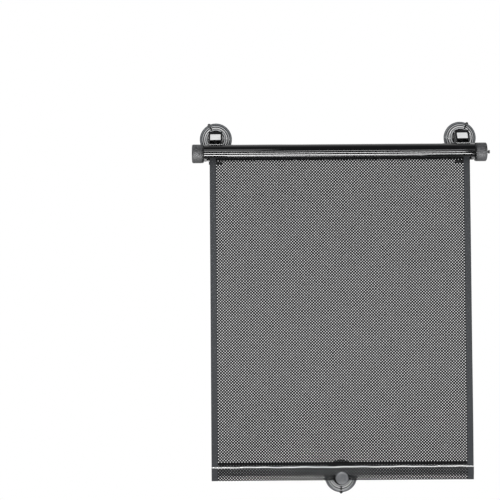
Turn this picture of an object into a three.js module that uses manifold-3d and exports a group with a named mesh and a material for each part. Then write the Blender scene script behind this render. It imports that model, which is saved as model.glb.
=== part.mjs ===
// A roller sunshade for a car's side window, in millimetres: a case with a sprung roller, a perforated sheet that
// pulls down out of it, and three suction cups. +X is to the right seen from inside the car, +Y is towards the
// window glass and +Z is up. The origin is on the glass, midway between the two upper cups.
import * as THREE from "three";
import { mergeVertices } from "three/addons/utils/BufferGeometryUtils.js";
import Module from "manifold-3d";

const wasm = await Module();
wasm.setup();

// Clearances
const TOUCH = 0.3; // between two pieces that touch
const RUN = 0.25; // round a shaft that turns or slides
const END_PLAY = 0.4; // of the roller between its two end plugs

// Sheet
const SHEET_WIDTH = 400;
const SHEET_SHIFT = 1.2; // the sheet sits this much to the right of the case's middle
const SHEET_FILM = 0.3;
const SHEET_BORDER = 9.5; // solid edge beside the holes
const DROP = 500; // from the roller's axis to the hem's lower edge, pulled out
const OPEN_SHARE = 0.32; // of the sheet between its borders
const HOLE_COLUMNS = 10;
const HOLE_ROWS = 12;
const HOLE_SIDES = 6;

// Roller
const CORE_RADIUS = 6;
const CORE_WALL = 1.2;
const TURNS_LEFT = 1.25; // turns of sheet on the core when it is pulled out
const TURN_GAP = 0.03;
const ROLLER_FLANGE = 1;
const LEFT_PLUG_SEAT = 10; // in the core
const RIGHT_PLUG_SEAT = 14;
const JOURNAL_RADIUS = 3.5;

// Case
const SIDE_ROOM = 6.9; // from the sheet's edge to the end of the tube
const CASE_RADIUS = 12.2;
const CASE_WALL = 1.2;
const CASE_RISE = 1.5; // of the tube's middle above the roller's axis
const CASE_LIP_ANGLE = 228; // degrees, from the rear over the top to the tip of the front wall
const SKIRT_GAP = 0.4; // between the sheet and the rear wall behind it
const SKIRT_REACH = 0.4; // of the rear wall below the tube's round

// End plugs and caps
const SPIGOT = 4.5; // in the tube
const TONGUE = 1.4; // of the spigot into the tube's slot
const TONGUE_HALF = 4.5;
const COLLAR_WIDTH = 1.8;
const COLLAR_SLOPE = 1.3; // from the tube's side up to the cap's radius
const JOURNAL_FLOOR = 1.5;
const CAP_SPIGOT = 5;
const CAP_SPIGOT_WALL = 2;
const CAP_RADIUS = 14.3;
const CAP_WIDTH = 16;
const CAP_WALL = 1.5;
const CAP_END_WALL = 2;
const CAP_ROUNDING = 1.8;

// Return spring and its arbor
const ARBOR_RADIUS = 2;
const ARBOR_HEAD_RADIUS = 4.5;
const ARBOR_HEAD_WIDTH = 2;
const ARBOR_TIP = 2.5; // past the anchor
const RETURN_LENGTH = 100;
const RETURN_TURNS = 12;
const RETURN_WIRE = 0.45; // radius
const ANCHOR_WIDTH = 8;

// Release button and brake
const STEM_RADIUS = 1.6;
const STEM_TIP_RADIUS = 1;
const STEM_SHOWN = 3.1; // outside the cap; the button's travel is this less a touch
const BUTTON_RADIUS = 2.9;
const BUTTON_HEAD = 2.4;
const KEY_HALF = 3.2; // half the side of the square collar on the stem
const KEY_WIDTH = 2.5;
const GUIDE_WALL = 1.2;
const GUIDE_REACH = 7;
const CONE_LENGTH = 6;
const CONE_SLOPE = 0.2;
const CONE_MOUTH = 1; // straight mouth inside the cone seat
const CONE_NARROW = 2.3; // radius of the seat at its narrow end
const BUTTON_WIRE = 0.35; // radius
const BUTTON_TURNS = 5;

// Suction cups
const CUP_RADIUS = 25;
const CUP_HEIGHT = 14.2; // from the glass to the shoulder
const CUP_RISE = 25.3; // of the upper cups above the roller's axis
const CUP_HOLLOW = 5;
const CUP_FLAT = 4.5; // width of the flat lip
const BOSS_RADIUS = 7;
const NECK_RADIUS = 4;
const HEAD_RADIUS = 6;
const HEAD_WIDTH = 2.5;
const TAB_RADIUS = 2.4;
const TAB_REACH = 2; // of the tab past the cup's edge
const TAB_THICKNESS = 1.6;
const CUP_SLIT_WIDTH = 2.6;
const CUP_SLIT_INNER = 14.4;
const CUP_SLIT_DEPTH = 1.2;
const LEFT_CUP_TURN = -25; // degrees, of the tab from straight up, clockwise seen from inside the car
const RIGHT_CUP_TURN = 27;
const BOTTOM_CUP_TURN = 180;

// Brackets
const BRACKET_INSET = 17.4; // from the end of the tube to the bracket's middle
const BRACKET_WIDTH = 21;
const BRACKET_TOP = 35.1; // above the roller's axis
const PLATE = 3;
const HOOK_WALL = 1.5;
const HOOK_ANGLE = 120; // degrees, from the rear over the top
const FOOT = 4.2;
const CHEEK = 2.1;
const CHEEK_PROUD = 0.9; // of the slanted face
const HOOD_WALL = 1.8;
const HOOD_BOTTOM = 20.6; // above the roller's axis
const HOOD_FRONT = 0.6; // in front of the roller's axis
const HOOD_SHOULDER = 3.7; // from the slanted face's upper edge to the bracket's top
const HOOD_LEAN = 8.4; // of the slanted face, towards the glass
const KEYHOLE_DROP = 10.8; // from the neck to the keyhole's wide end

// Hem
const HEM_ABOVE = 3.6; // welded strip above the bar
const HEM_BELOW = 0.9; // between the bar and the fringe
const FRINGE = 6.8;
const BAR_HEIGHT = 11.3;
const BAR_THICKNESS = 2.2;
const BAR_SHORT = 3; // the bar stops this much before each side of the sheet
const CLIP_UP = 3.5; // the bottom cup's middle, above the hem's lower edge
const CLIP_RADIUS = 9.7;
const CLIP_BUTTON = 3;
const CLIP_CHAMFER = 1.2;
const CLIP_SHOULDER_RADIUS = 3;
const SHANK_RADIUS = 2.2;
const SOCKET_FLOOR = 2;

// Places that follow. Sections are drawn round the roller's axis, with u towards the glass and v up.
const caseHalf = SHEET_WIDTH / 2 + SIDE_ROOM;
const caseBore = CASE_RADIUS - CASE_WALL;
const spigotFace = caseHalf - SPIGOT;
const flangeFace = spigotFace - END_PLAY;
const coreHalf = flangeFace - ROLLER_FLANGE - TOUCH;
const coreBore = CORE_RADIUS - CORE_WALL;
const collarFace = caseHalf + TOUCH + COLLAR_WIDTH;
const capFace = collarFace + TOUCH;
const capEnd = capFace + CAP_WIDTH;
const capFloor = capEnd - CAP_END_WALL;
const capBore = CAP_RADIUS - CAP_WALL;
const rollRadius = CORE_RADIUS + TOUCH + SHEET_FILM + TURNS_LEFT * (SHEET_FILM + TURN_GAP);
const sheetU = rollRadius - SHEET_FILM / 2;
const skirtInner = rollRadius + SKIRT_GAP;
const skirtOuter = skirtInner + CASE_WALL;
const skirtBottom = CASE_RISE - CASE_RADIUS - SKIRT_REACH;
const hemHalf = BAR_THICKNESS / 2 + TOUCH + SHEET_FILM;
const hemBottom = -DROP;
const fringeTop = hemBottom + FRINGE;
const barMiddle = fringeTop + HEM_BELOW + BAR_HEIGHT / 2;
const hemTop = barMiddle + BAR_HEIGHT / 2 + HEM_ABOVE;
const clipMiddle = hemBottom + CLIP_UP;
const socketFace = sheetU + hemHalf + TOUCH;
const headFront = socketFace + SOCKET_FLOOR + TOUCH;
const plateFront = headFront + HEAD_WIDTH + TOUCH;
const plateBack = plateFront + PLATE;
const glassU = plateBack + TOUCH + CUP_HEIGHT;
const bracketX = caseHalf - BRACKET_INSET;

const degrees = THREE.MathUtils.degToRad;

// Materials
const material = (color, roughness, metalness = 0) =>
  new THREE.MeshStandardMaterial({ color, roughness, metalness });
const glossBlack = material(0x17181a, 0.12);
const mattGrey = material(0x3d3e40, 0.6);
const black = material(0x1b1c1e, 0.35);
const softVinyl = material(0x4a4b4e, 0.2);
const sheetVinyl = material(0x2e2f31, 0.5);
const greyNylon = material(0x707275, 0.35);
const barGrey = material(0x8a8c8e, 0.5);
const steel = material(0xa9abad, 0.3, 1);
const whiteAcetal = material(0xd8d8d4, 0.4);

// A geometry as a closed solid: positions alone, with shared corners merged and collapsed triangles left out.
function solidOf(geometry) {
  const loose = geometry.index ? geometry.toNonIndexed() : geometry;
  const bare = new THREE.BufferGeometry();
  bare.setAttribute("position", loose.getAttribute("position"));
  const merged = mergeVertices(bare, 1e-4);
  const corners = merged.index.array;
  const kept = [];
  for (let i = 0; i < corners.length; i += 3) {
    const [a, b, c] = corners.slice(i, i + 3);
    if (a !== b && b !== c && c !== a) kept.push(a, b, c);
  }
  const vertProperties = merged.getAttribute("position").array;
  return new wasm.Manifold(
    new wasm.Mesh({ numProp: 3, vertProperties, triVerts: new Uint32Array(kept) }),
  );
}

function geometryOf(solid) {
  const mesh = solid.getMesh();
  const geometry = new THREE.BufferGeometry();
  geometry.setAttribute("position", new THREE.BufferAttribute(mesh.vertProperties, 3));
  geometry.setIndex(new THREE.BufferAttribute(mesh.triVerts, 1));
  return geometry;
}

function join(first, ...others) {
  return geometryOf(others.reduce((all, g) => all.add(solidOf(g)), solidOf(first)));
}

function cut(first, ...others) {
  return geometryOf(others.reduce((all, g) => all.subtract(solidOf(g)), solidOf(first)));
}

// A closed shape through [a, b] points.
function outline(points) {
  return new THREE.Shape(points.map(([a, b]) => new THREE.Vector2(a, b)));
}

function circle(x, y, radius) {
  return new THREE.Shape().absarc(x, y, radius, 0, 2 * Math.PI);
}

function square(half) {
  return outline([
    [-half, -half],
    [half, -half],
    [half, half],
    [-half, half],
  ]);
}

// A (u, v) shape drawn out along X, from one x to another.
function alongX(shape, from, to, curveSegments = 12) {
  const geometry = new THREE.ExtrudeGeometry(shape, {
    depth: to - from,
    bevelEnabled: false,
    curveSegments,
  });
  geometry.applyMatrix4(new THREE.Matrix4().set(0, 0, 1, from, 1, 0, 0, 0, 0, 1, 0, 0, 0, 0, 0, 1));
  return geometry;
}

// An (x, v) shape drawn out along u, from one u to another.
function alongU(shape, from, to, curveSegments = 12) {
  const geometry = new THREE.ExtrudeGeometry(shape, {
    depth: to - from,
    bevelEnabled: false,
    curveSegments,
  });
  geometry.applyMatrix4(new THREE.Matrix4().set(1, 0, 0, 0, 0, 0, -1, to, 0, 1, 0, 0, 0, 0, 0, 1));
  return geometry;
}

// A profile of [radius, place] points turned round the Y axis. One that leaves the axis free closes on itself.
function turnedY(profile, sides = 24) {
  const points = profile.map(([r, y]) => new THREE.Vector2(r, y));
  const onAxis = profile[0][0] === 0;
  const ring = THREE.ShapeUtils.area(points) < 0 ? points.reverse() : points;
  if (!onAxis) ring.push(ring[0].clone());
  return geometryOf(solidOf(new THREE.LatheGeometry(ring, sides)));
}

function turnedX(profile, sides = 24) {
  return turnedY(profile, sides).rotateZ(-Math.PI / 2);
}

// A coil of round wire round the X axis.
class Coil extends THREE.Curve {
  constructor(radius, from, to, turns) {
    super();
    Object.assign(this, { radius, from, to, turns });
  }
  getPoint(t, target = new THREE.Vector3()) {
    const angle = 2 * Math.PI * this.turns * t;
    const x = THREE.MathUtils.lerp(this.from, this.to, t);
    return target.set(x, this.radius * Math.cos(angle), this.radius * Math.sin(angle));
  }
}

function spring(radius, wire, from, to, turns) {
  const end = wire + TOUCH;
  const path = new Coil(radius, from + end, to - end, turns);
  const section = circle(0, 0, wire);
  const geometry = new THREE.ExtrudeGeometry(section, {
    extrudePath: path,
    steps: turns * 10,
    bevelEnabled: false,
    curveSegments: 3,
  });
  return geometryOf(solidOf(geometry));
}

// The case: a tube open along its lower front, whose rear wall runs straight down behind the sheet.
function caseTube() {
  const outerStart = Math.atan2(-Math.sqrt(CASE_RADIUS ** 2 - skirtOuter ** 2), skirtOuter);
  const innerEnd = Math.atan2(-Math.sqrt(caseBore ** 2 - skirtInner ** 2), skirtInner);
  const tip = degrees(CASE_LIP_ANGLE);
  const section = new THREE.Shape()
    .moveTo(skirtInner, skirtBottom)
    .lineTo(skirtOuter, skirtBottom)
    .absarc(0, CASE_RISE, CASE_RADIUS, outerStart, tip, false)
    .absarc(0, CASE_RISE, caseBore, tip, innerEnd, true);
  return alongX(section, -caseHalf, caseHalf, 20);
}

// End plugs: a collar between tube and cap, with a spigot into each. The tube's spigot is as far above the roller's
// axis as the tube is, and has a tongue that closes the end of the slot. The right plug carries the roller's journal.
function endPlug(...bores) {
  const capSpigot = capBore - TOUCH;
  const capSpigotEnd = collarFace + CAP_SPIGOT;
  const spigotRadius = caseBore - TOUCH;
  const collarStart = caseHalf + TOUCH;
  const collar = turnedX([
    [0, collarStart],
    [CAP_RADIUS - COLLAR_SLOPE, collarStart],
    [CAP_RADIUS, collarStart + COLLAR_SLOPE],
    [CAP_RADIUS, collarFace],
    [capSpigot, collarFace],
    [capSpigot, capSpigotEnd],
    [capSpigot - CAP_SPIGOT_WALL, capSpigotEnd],
    [capSpigot - CAP_SPIGOT_WALL, collarFace],
    [0, collarFace],
  ]);
  const spigot = turnedX([
    [0, spigotFace],
    [spigotRadius, spigotFace],
    [spigotRadius, collarStart + TOUCH],
    [0, collarStart + TOUCH],
  ]).translate(0, 0, CASE_RISE);
  const tongueTop = CASE_RISE - spigotRadius / 2;
  const tongueBottom = CASE_RISE - spigotRadius - TONGUE;
  const tongue = outline([
    [-TONGUE_HALF, tongueBottom],
    [TONGUE_HALF, tongueBottom],
    [TONGUE_HALF, tongueTop],
    [-TONGUE_HALF, tongueTop],
  ]);
  return cut(join(collar, spigot, alongX(tongue, spigotFace, collarStart + TOUCH)), ...bores);
}

function boreX(radius, from, to) {
  return turnedX([
    [0, from],
    [radius, from],
    [radius, to],
    [0, to],
  ]);
}

function leftEndPlug() {
  return endPlug(boreX(ARBOR_RADIUS + TOUCH, spigotFace - 1, collarFace + 1));
}

function rightEndPlug() {
  return endPlug(
    boreX(JOURNAL_RADIUS + RUN, spigotFace - 1, collarFace - JOURNAL_FLOOR),
    boreX(STEM_RADIUS + RUN, spigotFace - 1, collarFace + 1),
  );
}

// End caps: cups with a rounded outer edge.
function capProfile(endHole) {
  const arc = [0, 1, 2, 3].map((step) => {
    const angle = (step * Math.PI) / 6;
    return [
      CAP_RADIUS - CAP_ROUNDING * (1 - Math.cos(angle)),
      capEnd - CAP_ROUNDING * (1 - Math.sin(angle)),
    ];
  });
  return [
    [endHole, capFloor],
    [capBore, capFloor],
    [capBore, capFace],
    [CAP_RADIUS, capFace],
    ...arc,
    [endHole, capEnd],
  ];
}

function leftEndCap() {
  return turnedX(capProfile(0));
}

// The right cap has a hole for the stem and a square guide that keeps the stem from turning.
function rightEndCap() {
  const cap = turnedX(capProfile(STEM_RADIUS + RUN));
  const inner = KEY_HALF + RUN;
  const guideStart = capFloor - GUIDE_REACH;
  const guide = square(inner + GUIDE_WALL);
  guide.holes.push(square(inner));
  return join(cap, alongX(guide, guideStart, capFloor + TOUCH));
}

// Roller: core tube, the turns of sheet left on it and its two plugs.
function rollerCore() {
  return turnedX([
    [coreBore, -coreHalf],
    [coreBore, coreHalf],
    [CORE_RADIUS, coreHalf],
    [CORE_RADIUS, -coreHalf],
  ]);
}

// The sheet comes up behind the roller and goes over its top, so the spiral shrinks in that direction.
function sheetRoll() {
  const steps = Math.round(TURNS_LEFT * 24);
  const pitch = SHEET_FILM + TURN_GAP;
  const turn = (depth) => (_, i) => {
    const angle = (2 * Math.PI * TURNS_LEFT * i) / steps;
    const radius = rollRadius - depth - (pitch * angle) / (2 * Math.PI);
    return [radius * Math.cos(angle), radius * Math.sin(angle)];
  };
  const outer = Array.from({ length: steps + 1 }, turn(0));
  const inner = Array.from({ length: steps + 1 }, turn(SHEET_FILM));
  const half = SHEET_WIDTH / 2;
  return alongX(outline([...outer, ...inner.reverse()]), SHEET_SHIFT - half, SHEET_SHIFT + half);
}

function leftRollerPlug() {
  const bore = ARBOR_RADIUS + RUN;
  return turnedX([
    [bore, coreHalf - LEFT_PLUG_SEAT],
    [bore, flangeFace],
    [CORE_RADIUS, flangeFace],
    [CORE_RADIUS, coreHalf + TOUCH],
    [coreBore - TOUCH, coreHalf + TOUCH],
    [coreBore - TOUCH, coreHalf - LEFT_PLUG_SEAT],
  ]);
}

// The right plug turns on its journal, and its inner end is the conical seat of the brake.
const seatMouth = coreHalf - RIGHT_PLUG_SEAT + CONE_MOUTH;
const seatNarrow = seatMouth + CONE_LENGTH + 1;
const seatRadius = (x) => CONE_NARROW + CONE_SLOPE * (seatNarrow - x);

function rightRollerPlug() {
  const bore = STEM_RADIUS + RUN;
  const journalEnd = collarFace - JOURNAL_FLOOR - TOUCH;
  return turnedX([
    [seatRadius(seatMouth), coreHalf - RIGHT_PLUG_SEAT],
    [seatRadius(seatMouth), seatMouth],
    [CONE_NARROW, seatNarrow],
    [bore, seatNarrow],
    [bore, journalEnd],
    [JOURNAL_RADIUS, journalEnd],
    [JOURNAL_RADIUS, flangeFace],
    [CORE_RADIUS, flangeFace],
    [CORE_RADIUS, coreHalf + TOUCH],
    [coreBore - TOUCH, coreHalf + TOUCH],
    [coreBore - TOUCH, coreHalf - RIGHT_PLUG_SEAT],
  ]);
}

// Return spring, on an arbor that the left end plug holds, and the anchor that ties it to the core.
const returnStart = -coreHalf + LEFT_PLUG_SEAT;
const returnEnd = returnStart + RETURN_LENGTH;

function springArbor() {
  const headStart = -collarFace - TOUCH;
  const tip = returnEnd + ANCHOR_WIDTH + ARBOR_TIP;
  const rod = turnedX([
    [0, headStart - ARBOR_HEAD_WIDTH / 2],
    [ARBOR_RADIUS, headStart - ARBOR_HEAD_WIDTH / 2],
    [ARBOR_RADIUS, tip],
    [0, tip],
  ]);
  const hexagon = new THREE.CylinderGeometry(ARBOR_HEAD_RADIUS, ARBOR_HEAD_RADIUS, ARBOR_HEAD_WIDTH, 6);
  hexagon.rotateZ(Math.PI / 2).translate(headStart - ARBOR_HEAD_WIDTH / 2, 0, 0);
  return join(rod, hexagon);
}

function springAnchor() {
  const bore = ARBOR_RADIUS + RUN;
  return turnedX([
    [bore, returnEnd],
    [bore, returnEnd + ANCHOR_WIDTH],
    [coreBore - TOUCH, returnEnd + ANCHOR_WIDTH],
    [coreBore - TOUCH, returnEnd],
  ]);
}

function returnSpring() {
  const radius = (ARBOR_RADIUS + coreBore) / 2;
  return spring(radius, RETURN_WIRE, returnStart, returnEnd, RETURN_TURNS);
}

// Release button: a stem through cap, end plug and roller plug, with a square key inside the cap.
const keyFace = capFloor - TOUCH - KEY_WIDTH;
const coneStart = seatMouth + TOUCH;
const coneEnd = coneStart + CONE_LENGTH;

function releaseButton() {
  const headStart = capEnd + STEM_SHOWN;
  const headEnd = headStart + BUTTON_HEAD;
  const stem = turnedX([
    [0, coneStart],
    [STEM_TIP_RADIUS, coneStart],
    [STEM_TIP_RADIUS, coneEnd + TOUCH],
    [STEM_RADIUS, coneEnd + TOUCH],
    [STEM_RADIUS, headStart],
    [0.8 * BUTTON_RADIUS, headStart],
    [BUTTON_RADIUS, headStart + BUTTON_HEAD / 4],
    [BUTTON_RADIUS, headEnd - BUTTON_HEAD / 3],
    [0.75 * BUTTON_RADIUS, headEnd - BUTTON_HEAD / 12],
    [0, headEnd],
  ]);
  return join(stem, alongX(square(KEY_HALF), keyFace, keyFace + KEY_WIDTH));
}

// The cone sits on the stem's thin end. Pressing the button moves it out of its seat.
function brakeCone() {
  const bore = STEM_TIP_RADIUS + TOUCH;
  return turnedX([
    [bore, coneStart],
    [bore, coneEnd],
    [seatRadius(coneEnd) - TOUCH, coneEnd],
    [seatRadius(coneStart) - TOUCH, coneStart],
  ]);
}

function buttonSpring() {
  const radius = (STEM_RADIUS + KEY_HALF + RUN) / 2;
  return spring(radius, BUTTON_WIRE, collarFace, keyFace, BUTTON_TURNS);
}

// Suction cup: dish, boss, neck and head in one moulding, with a slit and a pull tab at its edge.
function suctionCup() {
  const shoulder = -CUP_HEIGHT;
  const headBack = shoulder - PLATE - 2 * TOUCH;
  const headEnd = headBack - HEAD_WIDTH;
  const edge = (inset) => CUP_RADIUS - inset;
  const dish = turnedY([
    [0, headEnd],
    [HEAD_RADIUS - 1, headEnd],
    [HEAD_RADIUS, headEnd + 1],
    [HEAD_RADIUS, headBack],
    [NECK_RADIUS, headBack],
    [NECK_RADIUS, shoulder],
    [BOSS_RADIUS, shoulder],
    [BOSS_RADIUS + 0.4, -6.6],
    [edge(12.6), -6.4],
    [edge(12.3), -7.7],
    [edge(11.2), -7.6],
    [edge(10.6), -5.6],
    [edge(6.5), -3.9],
    [edge(6), -3.3],
    [edge(4.8), -3.2],
    [edge(3), -1.9],
    [edge(2), -1.1],
    [edge(0), -0.8],
    [edge(0), 0],
    [edge(CUP_FLAT), 0],
    [edge(6), -0.18 * CUP_HOLLOW],
    [edge(11), -0.56 * CUP_HOLLOW],
    [edge(17), -0.86 * CUP_HOLLOW],
    [0, -CUP_HOLLOW],
  ]);
  const tab = alongU(circle(0, CUP_RADIUS + TAB_REACH - TAB_RADIUS, TAB_RADIUS), -TAB_THICKNESS, -0.2, 8);
  const slitLength = CUP_RADIUS - CUP_SLIT_INNER - 3;
  const slit = new THREE.BoxGeometry(CUP_SLIT_WIDTH, CUP_SLIT_DEPTH * 2, slitLength);
  slit.rotateX(-Math.atan2(4, slitLength));
  slit.translate(0, -4.1, CUP_SLIT_INNER + slitLength / 2);
  return cut(join(dish, tab), slit);
}

// Bracket: a plate behind the case, a hook over it, a foot under its skirt and a hood over the cup's head.
function bracket() {
  const inner = CASE_RADIUS + TOUCH;
  const outer = inner + HOOK_WALL;
  const hookEnd = degrees(HOOK_ANGLE);
  const footTop = skirtBottom - TOUCH;
  const hoodEdge = BRACKET_TOP - HOOD_SHOULDER;
  const half = BRACKET_WIDTH / 2;
  const wide = (shape) => alongX(shape, -half, half, 12);
  const plate = outline([
    [plateFront, inner / 2],
    [plateFront, BRACKET_TOP],
    [plateBack, BRACKET_TOP],
    [plateBack, inner / 2],
  ]);
  const back = outline([
    [skirtOuter - TOUCH, footTop],
    [skirtOuter - TOUCH, footTop - FOOT],
    [plateBack, footTop - FOOT],
    [plateBack, BRACKET_TOP / 2],
    [plateBack - PLATE, BRACKET_TOP / 2],
    [inner, inner / 2],
    [inner, footTop],
  ]);
  const hook = new THREE.Shape()
    .moveTo(outer, CASE_RISE)
    .absarc(0, CASE_RISE, outer, 0, hookEnd, false)
    .absarc(0, CASE_RISE, inner, hookEnd, 0, true);
  const lean = HOOD_LEAN - HOOD_FRONT;
  const hood = outline([
    [-HOOD_FRONT, HOOD_BOTTOM],
    [lean, hoodEdge],
    [lean + 1.2, BRACKET_TOP],
    [plateFront + TOUCH, BRACKET_TOP],
    [plateFront + TOUCH, BRACKET_TOP - HOOD_WALL],
    [lean + HOOD_WALL * 1.4, BRACKET_TOP - HOOD_WALL],
    [HOOD_WALL * 1.2 - HOOD_FRONT, HOOD_BOTTOM - HOOD_WALL * 0.6],
  ]);
  const cheek = outline([
    [plateFront + TOUCH, BRACKET_TOP],
    [lean + 1.2 - CHEEK_PROUD, BRACKET_TOP],
    [lean - CHEEK_PROUD, hoodEdge],
    [-HOOD_FRONT - CHEEK_PROUD, HOOD_BOTTOM],
    [-HOOD_FRONT - CHEEK_PROUD, CASE_RISE + outer - HOOK_WALL / 2],
    [outer * 0.7, CASE_RISE + outer * 0.72],
    [plateFront + TOUCH, CASE_RISE + outer * 0.72],
  ]);
  const keyhole = join(
    alongU(circle(0, CUP_RISE, NECK_RADIUS + TOUCH), CORE_RADIUS + TOUCH, plateBack + 1),
    alongU(circle(0, CUP_RISE - KEYHOLE_DROP, HEAD_RADIUS + TOUCH), CORE_RADIUS + TOUCH, plateBack + 1),
    alongU(
      outline([
        [-NECK_RADIUS - TOUCH, CUP_RISE - KEYHOLE_DROP],
        [NECK_RADIUS + TOUCH, CUP_RISE - KEYHOLE_DROP],
        [NECK_RADIUS + TOUCH, CUP_RISE],
        [-NECK_RADIUS - TOUCH, CUP_RISE],
      ]),
      CORE_RADIUS + TOUCH,
      plateBack + 1,
    ),
  );
  const whole = join(
    wide(back),
    wide(plate),
    wide(hook),
    wide(hood),
    alongX(cheek, -half, -half + CHEEK),
    alongX(cheek, half - CHEEK, half),
  );
  return cut(whole, keyhole);
}

// Hanging sheet: one film with staggered holes between solid borders. Few holes stand for the many of the real
// sheet, with the same open share.
function meshSheet() {
  const half = SHEET_WIDTH / 2;
  const top = -TOUCH;
  const bottom = hemTop + TOUCH;
  const columnPitch = (SHEET_WIDTH - 2 * SHEET_BORDER) / HOLE_COLUMNS;
  const rowPitch = (top - bottom - 2 * SHEET_BORDER) / HOLE_ROWS;
  const sectorArea = Math.sin((2 * Math.PI) / HOLE_SIDES) / 2;
  const radius = Math.sqrt((OPEN_SHARE * columnPitch * rowPitch) / (HOLE_SIDES * sectorArea));
  const sheet = outline([
    [-half, bottom],
    [half, bottom],
    [half, top],
    [-half, top],
  ]);
  for (let row = 0; row < HOLE_ROWS; row++) {
    const odd = row % 2;
    const v = top - SHEET_BORDER - rowPitch * (row + 0.5);
    for (let column = 0; column < HOLE_COLUMNS - odd; column++) {
      const x = -half + SHEET_BORDER + columnPitch * (column + (odd ? 1 : 0.5));
      const corner = (_, i) => {
        const angle = (2 * Math.PI * i) / HOLE_SIDES;
        return [x + radius * Math.cos(angle), v + radius * Math.sin(angle)];
      };
      sheet.holes.push(outline(Array.from({ length: HOLE_SIDES }, corner)));
    }
  }
  return alongU(sheet, sheetU - SHEET_FILM / 2, sheetU + SHEET_FILM / 2);
}

// Hem: the sheet folded into a flat pocket for the bar, with both layers running on below it as a fringe.
function hemSleeve() {
  const half = SHEET_WIDTH / 2;
  const slope = hemHalf - SHEET_FILM;
  const pocketTop = barMiddle + BAR_HEIGHT / 2 + TOUCH;
  const pocketBottom = barMiddle - BAR_HEIGHT / 2 - TOUCH;
  const section = outline([
    [sheetU - SHEET_FILM, hemBottom],
    [sheetU + SHEET_FILM, hemBottom],
    [sheetU + SHEET_FILM, fringeTop - SHEET_FILM],
    [sheetU + hemHalf, fringeTop],
    [sheetU + hemHalf, pocketTop + SHEET_FILM],
    [sheetU + SHEET_FILM, pocketTop + SHEET_FILM + slope],
    [sheetU + SHEET_FILM, hemTop],
    [sheetU - SHEET_FILM, hemTop],
    [sheetU - SHEET_FILM, pocketTop + SHEET_FILM + slope],
    [sheetU - hemHalf, pocketTop + SHEET_FILM],
    [sheetU - hemHalf, fringeTop],
    [sheetU - SHEET_FILM, fringeTop - SHEET_FILM],
  ]);
  section.holes.push(
    outline([
      [sheetU - hemHalf + SHEET_FILM, pocketBottom],
      [sheetU + hemHalf - SHEET_FILM, pocketBottom],
      [sheetU + hemHalf - SHEET_FILM, pocketTop],
      [sheetU - hemHalf + SHEET_FILM, pocketTop],
    ]),
  );
  const shankHole = circle(-SHEET_SHIFT, clipMiddle, SHANK_RADIUS + TOUCH);
  return cut(alongX(section, -half, half), alongU(shankHole, sheetU - hemHalf - 1, sheetU + hemHalf + 1, 8));
}

function hemBar() {
  const half = SHEET_WIDTH / 2 - BAR_SHORT;
  const radius = BAR_THICKNESS / 2;
  const run = BAR_HEIGHT / 2 - radius;
  const section = new THREE.Shape()
    .absarc(sheetU, barMiddle + run, radius, 0, Math.PI)
    .absarc(sheetU, barMiddle - run, radius, Math.PI, 2 * Math.PI);
  return alongX(section, -half, half, 4);
}

// Hem clip: a button in front of the hem, riveted through the fringe to a socket behind it.
function hemButton() {
  const back = sheetU - hemHalf - TOUCH;
  const front = back - CLIP_BUTTON;
  const shoulder = sheetU - SHEET_FILM - TOUCH;
  const shankEnd = socketFace + SOCKET_FLOOR / 2;
  return turnedY([
    [0, front + 0.3],
    [CLIP_RADIUS - 2 * CLIP_CHAMFER, front + 0.3],
    [CLIP_RADIUS - 1.6 * CLIP_CHAMFER, front],
    [CLIP_RADIUS - CLIP_CHAMFER, front],
    [CLIP_RADIUS, front + CLIP_CHAMFER],
    [CLIP_RADIUS, back],
    [CLIP_SHOULDER_RADIUS, back],
    [CLIP_SHOULDER_RADIUS, shoulder],
    [SHANK_RADIUS, shoulder],
    [SHANK_RADIUS, shankEnd],
    [0, shankEnd],
  ]);
}

// The socket's slot is open at the top, so the roller's pull holds the cup's neck at its closed end.
function hemSocket() {
  const shoulder = sheetU + SHEET_FILM + TOUCH;
  const body = turnedY([
    [0, shoulder],
    [CLIP_SHOULDER_RADIUS, shoulder],
    [CLIP_SHOULDER_RADIUS, socketFace],
    [CLIP_RADIUS, socketFace],
    [CLIP_RADIUS, plateBack],
    [0, plateBack],
  ]);
  const slot = (radius) =>
    new THREE.Shape()
      .moveTo(radius, CLIP_RADIUS + 1)
      .lineTo(-radius, CLIP_RADIUS + 1)
      .absarc(0, 0, radius, Math.PI, 2 * Math.PI);
  return cut(
    body,
    alongU(slot(HEAD_RADIUS + TOUCH), headFront - TOUCH, plateFront),
    alongU(slot(NECK_RADIUS + TOUCH), plateFront - TOUCH, plateBack + 1),
    alongU(circle(0, 0, SHANK_RADIUS + TOUCH), shoulder - 1, socketFace + SOCKET_FLOOR / 2 + TOUCH, 8),
  );
}

// Assembly: everything is placed round the roller's axis.
const shade = new THREE.Group();
const axis = new THREE.Group();
axis.position.set(0, -glassU, -CUP_RISE);
shade.add(axis);

function add(parent, name, geometry, look) {
  const mesh = new THREE.Mesh(geometry, look);
  mesh.name = name;
  parent.add(mesh);
  return mesh;
}

add(axis, "case_tube", caseTube(), glossBlack);
add(axis, "right_end_plug", rightEndPlug(), black);
add(axis, "right_end_cap", rightEndCap(), mattGrey);

const leftEnd = new THREE.Group();
leftEnd.scale.x = -1;
axis.add(leftEnd);
add(leftEnd, "left_end_plug", leftEndPlug(), black);
add(leftEnd, "left_end_cap", leftEndCap(), mattGrey);
add(leftEnd, "left_roller_plug", leftRollerPlug(), whiteAcetal);

add(axis, "roller_core", rollerCore(), barGrey);
add(axis, "sheet_roll", sheetRoll(), sheetVinyl);
add(axis, "right_roller_plug", rightRollerPlug(), whiteAcetal);
add(axis, "spring_arbor", springArbor(), steel);
add(axis, "spring_anchor", springAnchor(), whiteAcetal);
add(axis, "return_spring", returnSpring(), steel);
add(axis, "release_button", releaseButton(), black);
add(axis, "brake_cone", brakeCone(), whiteAcetal);
add(axis, "button_spring", buttonSpring(), steel);

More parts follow.
